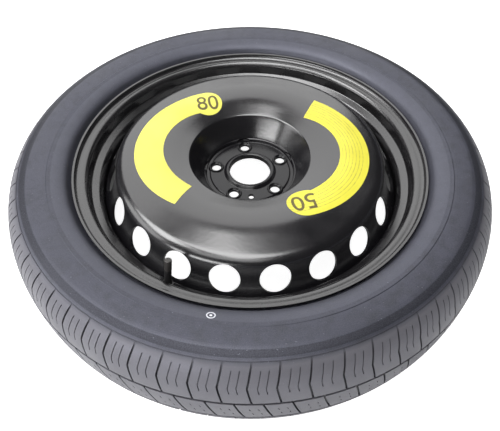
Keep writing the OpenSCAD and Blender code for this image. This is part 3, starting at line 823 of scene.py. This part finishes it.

# %% [markdown]
# A small spring round the pin of the valve core holds the valve shut. Its wire is wound up by the Screw
# modifier, as real wire is wound on a mandrel. The real spring rests on the barrel's floor and shortens when
# the pin is pressed.

# %% Core spring
SPRING_LOW = 32.9
SPRING_HIGH = 38.9
SPRING_R = 1.3
WIRE_R = 0.2
COIL_TURNS = 6
clear_selection()
bpy.ops.mesh.primitive_circle_add(vertices=8, radius=WIRE_R * MM)
upright = Matrix.Rotation(radians(90), 4, "X")
wire_start = Matrix.Translation((SPRING_R * MM, 0, (SPRING_LOW + WIRE_R) * MM))
spring = place(bpy.context.object, wire_start @ upright)
coil_pitch = (SPRING_HIGH - SPRING_LOW - 2 * WIRE_R) / COIL_TURNS
apply_modifier(spring, "SCREW", angle=2 * pi, screw_offset=coil_pitch * MM, iterations=COIL_TURNS, steps=24,
               render_steps=24, use_merge_vertices=False)
close_ends(spring)
tidy_mesh(spring)
place(spring, at_valve)
smooth(spring, 60)
hand_over(spring, "spring_coil", "wheel", ("core_spring",))
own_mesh(spring)

# %% [markdown]
# ## Labels
# Two printed films are stuck on the crown, each a crescent with a round head and a square end. A film
# starts as a flat circle whose points are moved to the crescent's outline. It is cut into small cells
# by bisecting, because only then can it bend over the domed crown. Each point is laid on the steel by
# the disc's own outline, and Solidify gives the film its thickness.

# %% Outline of a label
LABEL_R = 136.7
LABEL_W = 45
HEAD_R = 26
HEAD_TURN = 105.7
TAIL_TURN = 243
FILM_T = 0.3
FILM_LIFT = 0.02
CELL = 4


def steel_z(r):
    """Height of the disc's front at a radius on the crown."""
    for a, b in zip(crown, crown[1:]):
        if a[0] <= r <= b[0]:
            return MID_Z + a[1] + (b[1] - a[1]) * (r - a[0]) / (b[0] - a[0])
    return MID_Z + crown[-1][1]


def crescent():
    """Points round the flat label, in millimetres, about the crescent's own centre."""
    centre_r = LABEL_R - HEAD_R
    head = polar(centre_r, HEAD_TURN)
    inner_r = LABEL_R - LABEL_W
    meets = acos((inner_r ** 2 + centre_r ** 2 - HEAD_R ** 2) / (2 * inner_r * centre_r))
    inner_end = HEAD_TURN + degrees(meets)
    points = [polar(LABEL_R, t) for t in between(HEAD_TURN, TAIL_TURN, 70) + [TAIL_TURN]]
    points += [polar(inner_r, t) for t in between(TAIL_TURN, inner_end, 50) + [inner_end]]
    first = degrees(atan2(points[-1][1] - head[1], points[-1][0] - head[0]))
    sweep = (HEAD_TURN - first) % 360
    return points + [polar(HEAD_R, first + sweep * k / 40, head) for k in range(1, 40)]


print(len(crescent()), "points round a label")

# %% [markdown]
# A flat shape is cut into cells while it is still flat, as bisecting is simple there. It is then laid
# on the steel, its faces are turned up, and it gets its thickness. The helper that gives the thickness
# serves the ink mark on the tyre too.

# %% Lay film on the crown
def flat_shape(points):
    clear_selection()
    bpy.ops.mesh.primitive_circle_add(vertices=len(points), radius=0.1, fill_type="NGON")
    piece = bpy.context.object
    for point, (x, y) in zip(piece.data.vertices, points):
        point.co = (x * MM, y * MM, 0)
    return piece


def cut_in_cells(piece, size):
    """Bisects a flat piece along lines that lie size millimetres apart both ways."""
    low = [min(v.co[k] for v in piece.data.vertices) / MM for k in (0, 1)]
    high = [max(v.co[k] for v in piece.data.vertices) / MM for k in (0, 1)]
    edit(piece)
    for k, normal in ((0, (1, 0, 0)), (1, (0, 1, 0))):
        for i in range(1, int((high[k] - low[k]) / size) + 1):
            at = (low[k] + i * size) * MM
            bpy.ops.mesh.select_all(action="SELECT")
            bpy.ops.mesh.bisect(plane_co=(at, at, 0), plane_no=normal)
    leave_edit()


def thickened(piece, thickness):
    """Turns a flat piece's faces up, and gives it its thickness upwards."""
    edit(piece)
    bpy.ops.mesh.select_all(action="SELECT")
    bpy.ops.mesh.normals_make_consistent(inside=False)
    leave_edit()
    if sum(face.normal.z for face in piece.data.polygons) < 0:
        piece.data.flip_normals()
    apply_modifier(piece, "SOLIDIFY", thickness=thickness * MM, offset=1)
    smooth(piece, 40)


def lay_on_crown(piece, lift, thickness):
    for point in piece.data.vertices:
        point.co.z = (steel_z(hypot(point.co.x, point.co.y) / MM) + lift) * MM
    thickened(piece, thickness)


def on_label(x, y, turn):
    return Matrix.Translation((x * MM, y * MM, 0)) @ Matrix.Rotation(radians(turn), 4, "Z")


def film(name, node, slot, x, y, turn):
    piece = place(flat_shape(crescent()), on_label(x, y, turn))
    cut_in_cells(piece, CELL)
    lay_on_crown(piece, FILM_LIFT, FILM_T)
    hand_over(piece, name, "wheel", (node,))
    return piece


LEFT_AT = (-44, 7)
RIGHT_AT = (48, -3)
left_film = film("left_film", "left_label", "left_film", *LEFT_AT, 0)
right_film = film("right_film", "right_label", "right_film", *RIGHT_AT, 180)

# %% [markdown]
# A plain number is printed on each label's head. It starts as a text object in Blender's own plain
# letters, thickened a little, becomes a mesh, and is cut into cells and laid on the film as the film
# is on the steel.

# %% Numbers
NUMBER_H = 31
NUMBER_TURN = 13
NARROWING = 0.88
THICKENING = 0.006
INK_T = 0.04


def number(name, text, x, y, turn):
    clear_selection()
    bpy.ops.object.text_add()
    letters = bpy.context.object
    letters.data.body = text
    letters.data.align_x = "CENTER"
    letters.data.align_y = "CENTER"
    letters.data.resolution_u = 6
    letters.data.offset = THICKENING
    bpy.ops.object.convert(target="MESH")
    scale = NUMBER_H * MM / letters.dimensions.y
    middle = sum((Vector(corner) for corner in letters.bound_box), Vector()) / 8
    place(letters, on_label(x, y, turn) @ Matrix.Diagonal((scale * NARROWING, scale, scale, 1))
          @ Matrix.Translation(-middle))
    cut_in_cells(letters, CELL)
    lay_on_crown(letters, FILM_LIFT + FILM_T + 0.01, INK_T)
    hand_over(letters, name, "wheel")
    return letters


head_x, head_y = polar(LABEL_R - HEAD_R, 105)
left_number = number("left_number", "80", LEFT_AT[0] + head_x, LEFT_AT[1] + head_y, NUMBER_TURN)
right_number = number("right_number", "50", RIGHT_AT[0] - head_x, RIGHT_AT[1] - head_y, NUMBER_TURN + 180)

# %% [markdown]
# One small ring with a dot is stamped in white ink on the sidewall near the rim. It is a plain
# inspection mark. It is modelled as two flat shapes that follow the sidewall's slope.

# %% Ring mark on the sidewall
def sidewall_s(r):
    """Height of the sidewall near the rim."""
    c = (WIDEST_R - r) / (WIDEST_R - SIDE_FOOT[0])
    return SIDE_FOOT[1] + (HALF_W - SIDE_FOOT[1]) * sqrt(max(0, 1 - c * c))


def stamped(points, hole=None):
    piece = flat_shape(points)
    if hole:
        edit(piece)
        bpy.ops.mesh.select_all(action="SELECT")
        bpy.ops.mesh.inset(thickness=hole * MM, depth=0)
        bpy.ops.mesh.delete(type="FACE")
        leave_edit()
    return piece


MARK_R = 293.5
MARK_TURN = -99
MARK_LIFT, MARK_T = 0.03, 0.1
RING_W = 1.4
ring = [(5.7 * cos(2 * pi * k / 40), 5.0 * sin(2 * pi * k / 40)) for k in range(40)]
dot = [(1.8 * cos(2 * pi * k / 20), 1.5 * sin(2 * pi * k / 20)) for k in range(20)]
mark = joined([stamped(ring, RING_W), stamped(dot)])
place(mark, Matrix.Rotation(radians(MARK_TURN), 4, "Z") @ Matrix.Translation((MARK_R * MM, 0, 0))
      @ Matrix.Rotation(radians(90), 4, "Z"))
for point in mark.data.vertices:
    r = hypot(point.co.x, point.co.y) / MM
    point.co.z = (MID_Z + sidewall_s(r) + MARK_LIFT) * MM
thickened(mark, MARK_T)
hand_over(mark, "inspection_mark", "wheel")

# %% [markdown]
# ## Finishes
# Every finish starts from what the real one is. Colours are written as sRGB hex values, as they are
# picked from a swatch, and one function turns them to the linear values that the shaders work in. One
# more function adds a node with its settings and links, and gives the output that the next node
# needs. All patterns read Object coordinates, so their scales come from real sizes in millimetres.

# %% Helpers for finishes
def linear(swatch):
    """An sRGB hex colour as linear RGBA."""
    parts = [int(swatch[i:i + 2], 16) / 255 for i in (1, 3, 5)]
    return tuple(p / 12.92 if p <= 0.04045 else ((p + 0.055) / 1.055) ** 2.4 for p in parts) + (1.0,)


def add(tree, kind, inputs=(), out=0, **settings):
    """Adds a node and gives an output of it. An input is a value, a swatch or a node's output."""
    node = tree.nodes.new("ShaderNode" + kind)
    for key, value in settings.items():
        setattr(node, key, value)
    for key, value in (inputs.items() if isinstance(inputs, dict) else enumerate(inputs)):
        if isinstance(value, bpy.types.NodeSocket):
            tree.links.new(value, node.inputs[key])
        else:
            node.inputs[key].default_value = linear(value) if isinstance(value, str) else value
    return node.outputs[out]


def finish(name, **constants):
    """A new material with its shader's constants set, and the coordinates that its patterns read."""
    material = bpy.data.materials.new(name)
    material.use_nodes = True
    tree = material.node_tree
    shader = tree.nodes["Principled BSDF"]
    for key, value in constants.items():
        shader.inputs[key.replace("_", " ")].default_value = value
    return material, tree, shader, add(tree, "TexCoord", out="Object")


def lead_in(tree, shader, **outputs):
    """Leads the outputs of nodes into the shader's sockets."""
    for key, output in outputs.items():
        tree.links.new(output, shader.inputs[key.replace("_", " ")])


def cells(size):
    """The noise scale that gives spots of this size, in millimetres."""
    return 1 / (size * MM)


def layered(tree, colour, *layers):
    """Lays swatches over a colour. Each one comes in as its value passes through a range."""
    for value, limits, swatch in layers:
        share = add(tree, "MapRange", (value, *limits))
        colour = add(tree, "Mix", {0: share, 6: colour, 7: swatch}, 2, data_type="RGBA")
    return colour


def band(tree, value, rise, fall):
    """1 inside a band and 0 outside it. Each edge is a pair of values, from none to full."""
    edges = [add(tree, "MapRange", (value, *edge)) for edge in (rise, fall)]
    return add(tree, "Math", edges, operation="MULTIPLY")


def wheel_radius(tree, place_of):
    """Distance from the Z axis, in millimetres."""
    flat = add(tree, "VectorMath", (place_of, (1 / MM, 1 / MM, 0)), operation="MULTIPLY")
    return add(tree, "VectorMath", (flat,), "Value", operation="LENGTH")


def dress(piece, material):
    piece.data.materials.clear()
    piece.data.materials.append(material)


# %% [markdown]
# Tyre rubber is filled with carbon black and vulcanised against a machined steel mould. Fresh rubber
# is a bluish dark grey that scatters a wide, soft highlight. The mould leaves fine turning rings on
# the sidewall, a smoother, darker band under the tread's edge, and a duller, slightly dusty tread.
# Near the rim the rubber is painted a little paler, as painted light on the sidewall beside the rim. Stored
# tyres also show dark blotches and a few specks of dust. The floors of the grooves are painted darker and
# less glossy than the blocks, as painted shade in the grooves.
# The real grain is finer than a tenth of a millimetre, and is drawn at about one to be seen at all.
# A wave texture makes 20 / (2 pi) bands in a unit at scale 1, which gives the rings their spacing.

# %% Tyre rubber
CLOUD, BLOTCH, RING_STEP, DUST, GRAIN = 71.43, 16.667, 2.856, 2.381, 1.1111
PAINTED_LIGHT_EDGE = (300.5, 299.5)
TREAD_EDGE = (345, 352)
SMOOTH_EDGES = ((333.5, 335), (344, 343))
WAVES_PER_UNIT = 20 / (2 * pi)
tyre_rubber, tree, shader, place_of = finish("vulcanised_tyre_rubber", Roughness=0.45, IOR=1.52,
                                             Specular_IOR_Level=0.8, Specular_Tint=linear("#e4e6f8"))
radius = wheel_radius(tree, place_of)
cloudy = add(tree, "TexNoise", {"Vector": place_of, "Scale": cells(CLOUD), "Detail": 3, "Roughness": 0.6})
blotches = add(tree, "TexNoise", {"Vector": place_of, "Scale": cells(BLOTCH), "Detail": 4, "Roughness": 0.7})
dust = add(tree, "TexNoise", {"Vector": place_of, "Scale": cells(DUST), "Detail": 1})
grain = add(tree, "TexNoise", {"Vector": place_of, "Scale": cells(GRAIN), "Detail": 2})
smooth_band = band(tree, radius, *SMOOTH_EDGES)
# How far each point lies towards a groove floor, for the painted shade there.
groove_shade = add(tree, "Attribute", out="Fac", attribute_name="groove")
# Painted light: a paler ring on the sidewall beside the rim, below radius 300 mm. Painted shade: darker
# groove floors.
colour = layered(tree, "#25262f",
                 (cloudy, (0.35, 0.65), "#2c2d37"),
                 (blotches, (0.45, 0.66, 0, 0.9), "#15161b"),
                 (radius, (*PAINTED_LIGHT_EDGE, 0, 0.45), "#4a4b54"),
                 (radius, TREAD_EDGE, "#616065"),
                 (smooth_band, (0, 1), "#191a20"),
                 (grain, (0.3, 0.75, 0, 0.35), "#5a5a60"),
                 (dust, (0.75, 0.8, 0, 0.5), "#84848d"),
                 (groove_shade, (0, 1, 0, 0.75), "#141416"))
# Painted shade: the groove floors reflect less than the blocks.
groove_shade_gloss = add(tree, "MapRange", (groove_shade, 0, 1, 0.8, 0.45))
band_gloss = add(tree, "MapRange", (smooth_band, 0, 1, 1, 0.5))
gloss = add(tree, "Math", (groove_shade_gloss, band_gloss), operation="MULTIPLY")
along_x = add(tree, "CombineXYZ", (radius,))
rings = add(tree, "TexWave", {"Vector": along_x, "Scale": 1 / (WAVES_PER_UNIT * RING_STEP)}, "Fac",
            wave_type="BANDS", bands_direction="X")
relief = add(tree, "Math", (add(tree, "MapRange", (rings, 0, 1, 0, 0.35)), grain), operation="ADD")
lead_in(tree, shader, Base_Color=colour, Specular_IOR_Level=gloss,
        Roughness=add(tree, "MapRange", (cloudy, 0.3, 0.7, 0.38, 0.52)),
        Normal=add(tree, "Bump", {"Height": relief, "Strength": 0.25, "Distance": 0.3 * MM}))
print("rubber with grooves up to", deepest, "mm deep")

# %% [markdown]
# Steel wheels are dipped in a tank where a black epoxy paint is drawn on by current, and then baked.
# This electrocoat is thin, even and glossy, with a faint orange-peel ripple a few millimetres long.
# Handling leaves dust and dull patches on it, so the gloss varies slowly over the pressing. On the hub pad,
# down in the recess, the reflection is turned down as painted shade from the recess walls round it.

# %% Black electrocoat
PATCH, PEEL = 111.1, 3.846
PAD_SHADE_EDGE = (74, 78)


def electrocoat(name, swatch, dusty, rough=(0.16, 0.27), shaded_pad=False):
    material, tree, shader, place_of = finish(name, IOR=1.6, Specular_IOR_Level=1.0)
    patches = add(tree, "TexNoise",
                  {"Vector": place_of, "Scale": cells(PATCH), "Detail": 4, "Roughness": 0.65})
    peel = add(tree, "TexNoise", {"Vector": place_of, "Scale": cells(PEEL), "Detail": 1})
    lead_in(tree, shader, Base_Color=layered(tree, swatch, (patches, (0.35, 0.7), dusty)),
            Roughness=add(tree, "MapRange", (patches, 0.3, 0.7, *rough)),
            Normal=add(tree, "Bump", {"Height": peel, "Strength": 0.12, "Distance": 0.4 * MM}))
    # Painted shade: the hub pad inside the recess reflects less.
    if shaded_pad:
        gloss = add(tree, "MapRange", (wheel_radius(tree, place_of), *PAD_SHADE_EDGE, 0.4, 1))
        lead_in(tree, shader, Specular_IOR_Level=gloss)
    return material


disc_paint = electrocoat("black_electrocoat_disc", "#0f0e11", "#171619", shaded_pad=True)
rim_paint = electrocoat("black_electrocoat_rim", "#121113", "#1a191b", (0.2, 0.3))
weld_paint = electrocoat("black_electrocoat_weld", "#1d1c1d", "#2b2a2a", (0.3, 0.5))
print("paint with a ripple of", PEEL, "mm")

# %% [markdown]
# The labels are printed polyester film: a clear yellow ink under a satin varnish. The left one is
# plain and a little paler. The right one has seven fine grey rules that follow the crescent, worn in
# places, and both are slightly uneven where air and dust lie under the film.

# %% Label films
FILM_CLOUD, WEAR = 55.56, 6.25
RULE_STEP = 5.2
RULE_EDGES = ((0.30, 0.36), (0.52, 0.46))
RULED_EDGES = ((95.5, 95.7), (131.8, 131.6))


def label_film(name, at, ink, deep, rules):
    material, tree, shader, place_of = finish(name, Roughness=0.38, IOR=1.5)
    cloudy = add(tree, "TexNoise", {"Vector": place_of, "Scale": cells(FILM_CLOUD), "Detail": 3})
    colour = layered(tree, ink, (cloudy, (0.35, 0.7), deep))
    if rules:
        moved = add(tree, "VectorMath", (place_of, (-at[0] * MM, -at[1] * MM, 0)), operation="ADD")
        own_radius = wheel_radius(tree, moved)
        share = add(tree, "Math", (own_radius, 1 / RULE_STEP), operation="MULTIPLY")
        line = band(tree, add(tree, "Math", (share,), operation="FRACT"), *RULE_EDGES)
        wear = add(tree, "TexNoise", {"Vector": place_of, "Scale": cells(WEAR), "Detail": 1})
        left = add(tree, "MapRange", (wear, 0.35, 0.6, 0.25, 0.8))
        worn = add(tree, "Math", (line, left), operation="MULTIPLY")
        shown = add(tree, "Math", (worn, band(tree, own_radius, *RULED_EDGES)), operation="MULTIPLY")
        colour = layered(tree, colour, (shown, (0, 1), "#8a8040"))
    lead_in(tree, shader, Base_Color=colour,
            Normal=add(tree, "Bump", {"Height": cloudy, "Strength": 0.1, "Distance": 0.4 * MM}))
    return material


left_yellow = label_film("printed_polyester_film_pale", LEFT_AT, "#e6e163", "#dfd857", False)
right_yellow = label_film("printed_polyester_film", RIGHT_AT, "#e0d946", "#d8d03d", True)
print("rules", RULE_STEP, "mm apart on the right film")

# %% [markdown]
# Two inks are used: an olive screen ink for the numbers, and a chalky white one that is stamped on
# the rubber. Both cover a little unevenly.

# %% Inks
def stamping_ink(name, swatch, thin, size, limits, roughness, ior):
    material, tree, shader, place_of = finish(name, Roughness=roughness, IOR=ior)
    spots = add(tree, "TexNoise", {"Vector": place_of, "Scale": cells(size), "Detail": 2})
    lead_in(tree, shader, Base_Color=layered(tree, swatch, (spots, limits, thin)))
    return material


number_ink = stamping_ink("olive_screen_ink", "#564c22", "#665b2e", 3.333, (0.3, 0.7), 0.5, 1.5)
white_ink = stamping_ink("white_marking_ink", "#e9eaf0", "#cfd0d8", 1.4286, (0.35, 0.6), 0.6, 1.45)

# %% [markdown]
# The valve's small pieces are natural rubber, moulded nylon, turned brass and drawn spring wire. All
# of them get a fine grain, in colour, gloss and height. It is half a millimetre to one millimetre wide,
# which is coarser than the real one, so that a close view shows it.

# %% Small pieces
def plain_finish(name, low, high, size, rough, metallic=0.0, ior=1.5):
    material, tree, shader, place_of = finish(name, Metallic=metallic, IOR=ior)
    grain = add(tree, "TexNoise", {"Vector": place_of, "Scale": cells(size), "Detail": 3})
    lead_in(tree, shader, Base_Color=layered(tree, low, (grain, (0.3, 0.7), high)),
            Roughness=add(tree, "MapRange", (grain, 0.3, 0.7, rough - 0.06, rough + 0.06)),
            Normal=add(tree, "Bump", {"Height": grain, "Strength": 0.2, "Distance": 0.05 * MM}))
    return material


valve_finish = plain_finish("moulded_natural_rubber", "#1d1c1d", "#292829", 1.1111, 0.5)
cap_nylon = plain_finish("moulded_nylon_black", "#343231", "#423f3d", 0.8333, 0.42)
turned_brass = plain_finish("turned_brass", "#b08d47", "#c6a45a", 0.6667, 0.3, 1.0)
core_brass = plain_finish("turned_brass_fine", "#b8964e", "#cdac62", 0.6667, 0.28, 1.0)
sealing_plastic = plain_finish("sealing_ptfe", "#dcdcd6", "#e8e8e2", 1.1111, 0.5, ior=1.38)
seal_rubber = plain_finish("black_nitrile_rubber", "#232323", "#2e2e2e", 1.1111, 0.6)
spring_wire = plain_finish("drawn_spring_wire", "#a9a9ad", "#bdbdc1", 0.5, 0.3, 1.0)

# %% [markdown]
# Each modelled piece gets its finish. The CAD solids that stay visible get theirs in the slots that
# they have.

# %% Dress the pieces
for piece, material in (
        (tyre, tyre_rubber), (rim, rim_paint), (disc, disc_paint), (welds, weld_paint),
        (left_film, left_yellow), (right_film, right_yellow), (left_number, number_ink),
        (right_number, number_ink), (mark, white_ink), (valve_rubber, valve_finish),
        (stem, turned_brass), (cap, cap_nylon), (spring, spring_wire)):
    dress(piece, material)
for name, material in (
        ("core_barrel", core_brass), ("core_pin", core_brass), ("core_gasket", sealing_plastic),
        ("core_seal", seal_rubber), ("cap_liner", seal_rubber)):
    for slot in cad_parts[name].material_slots:
        slot.material = material
print(len(bpy.data.materials), "materials")

# %% [markdown]
# ## Floor and light
# The wheel lies on a white floor that runs on to a white background, so only its soft shadow shows.
# The floor is a plain white for the light that falls on the wheel. It gets a light of its own for the
# camera alone, and a weak one for mirror images, so that the paint shows a floor that isn't black.

# %% Floor
FLOOR_GLOW = 0.92
MIRRORED_GLOW = 0.15


def seen_directly(tree):
    """1 for what the camera sees, also through something clear."""
    rays = [add(tree, "LightPath", out=ray) for ray in ("Is Camera Ray", "Is Transmission Ray")]
    return add(tree, "Math", rays, operation="MAXIMUM")


clear_selection()
bpy.ops.mesh.primitive_plane_add(size=12, location=(0, 0, -0.5 * MM))
floor = bpy.context.object
place(floor, floor.matrix_world.copy())
floor.name = "floor"
floor_finish, tree, shader, place_of = finish(
    "white_floor", Roughness=0.9, IOR=1.45, Base_Color=linear("#e6e6e6"), Emission_Color=(1, 1, 1, 1))
glossy = add(tree, "LightPath", out="Is Glossy Ray")
mirrored = add(tree, "Math", (glossy, MIRRORED_GLOW), operation="MULTIPLY")
glow = add(tree, "Math", (seen_directly(tree), FLOOR_GLOW, mirrored), operation="MULTIPLY_ADD")
lead_in(tree, shader, Emission_Strength=glow)
dress(floor, floor_finish)

# %% [markdown]
# The world is white to the camera, for the background, and nearly dark to the wheel, so that the
# lamps alone shape it.

# %% World
WORLD_LIGHT = 0.06
world = bpy.data.worlds.new("studio")
world.use_nodes = True
tree = world.node_tree
background = tree.nodes["Background"]
background.inputs["Color"].default_value = (1, 1, 1, 1)
lead_in(tree, background, Strength=add(tree, "MapRange", (seen_directly(tree), 0, 1, WORLD_LIGHT, 1)))
bpy.context.scene.world = world

# %% [markdown]
# Large soft lamps stand where a studio's softboxes would. The one at the back gives the crown and the
# far shoulder their broad sheen, and the ones at the front and left lift the tread.

# %% Lamps
MIDDLE = Vector((0, 0, 0.1))
for name, at, size, watts in (
        ("back", (-0.45, 2.3, 1.9), (3.8, 2.7), 55),
        ("overhead", (-0.3, -0.2, 3.1), (2.2, 1.4), 58),
        ("left_high", (-1.9, 0, 2.6), (1.6, 1.2), 42),
        ("left", (-2.9, -0.2, 1.4), (2.2, 1.2), 22),
        ("front_high", (-0.6, -1.7, 2.8), (2.4, 1.2), 18),
        ("front_left", (-1.7, -2.4, 0.9), (2.2, 0.8), 38)):
    data = bpy.data.lights.new(name + "_softbox", "AREA")
    data.shape = "RECTANGLE"
    data.size, data.size_y = size
    data.energy = watts
    lamp = bpy.data.objects.new(name + "_softbox", data)
    lamp.location = at
    lamp.rotation_euler = (MIDDLE - Vector(at)).to_track_quat("-Z", "Y").to_euler()
    bpy.context.scene.collection.objects.link(lamp)
bpy.context.scene.view_settings.view_transform = "Standard"
print(len(bpy.data.lights), "lamps")

# %% [markdown]
